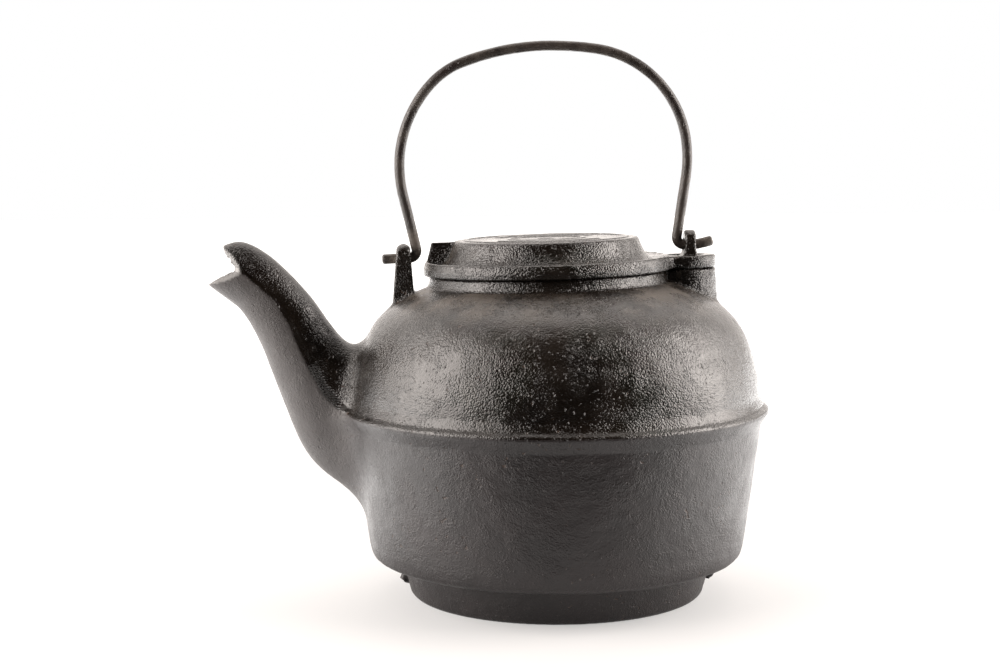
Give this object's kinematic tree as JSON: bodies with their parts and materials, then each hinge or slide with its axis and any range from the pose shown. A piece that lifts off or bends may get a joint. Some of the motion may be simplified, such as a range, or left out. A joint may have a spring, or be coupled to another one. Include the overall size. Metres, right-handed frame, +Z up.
{
  "type": "tea kettle",
  "caption": "Cast-iron stove kettle with a curved spout, a swivelling pierced-tongue lid and a swinging bent-rod bail.",
  "frame": {"origin": "centre of the foot's flat underside", "axes": "+Z up, -X towards the spout, XZ is the plane of symmetry"},
  "size_m": [0.3277, 0.2488, 0.3231],
  "materials": {
    "body_iron": "seasoned black sand-cast iron, glossy above the ridge and satin below",
    "lid_iron": "seasoned black sand-cast iron, glossy",
    "bail_iron": "blackened iron rod, satin"
  },
  "bodies": {
    "kettle_body": {"kettle_body": "body_iron"},
    "lid": {"lid": "lid_iron"},
    "bail": {"bail": "bail_iron"}
  },
  "joints": [
    {"name": "lid_swivel", "type": "hinge", "parent": "kettle_body", "child": "lid", "pos_m": [0.0768, 0, 0.19078], "axis": [-0.0218, 0, 0.9998], "range_deg": [-110, 0]},
    {"name": "bail_swing", "type": "hinge", "parent": "kettle_body", "child": "bail", "pos_m": [-0.0894, 0, 0.1977], "axis": [0.9992, 0, 0.0397], "range_deg": [-70, 98]}
  ]
}
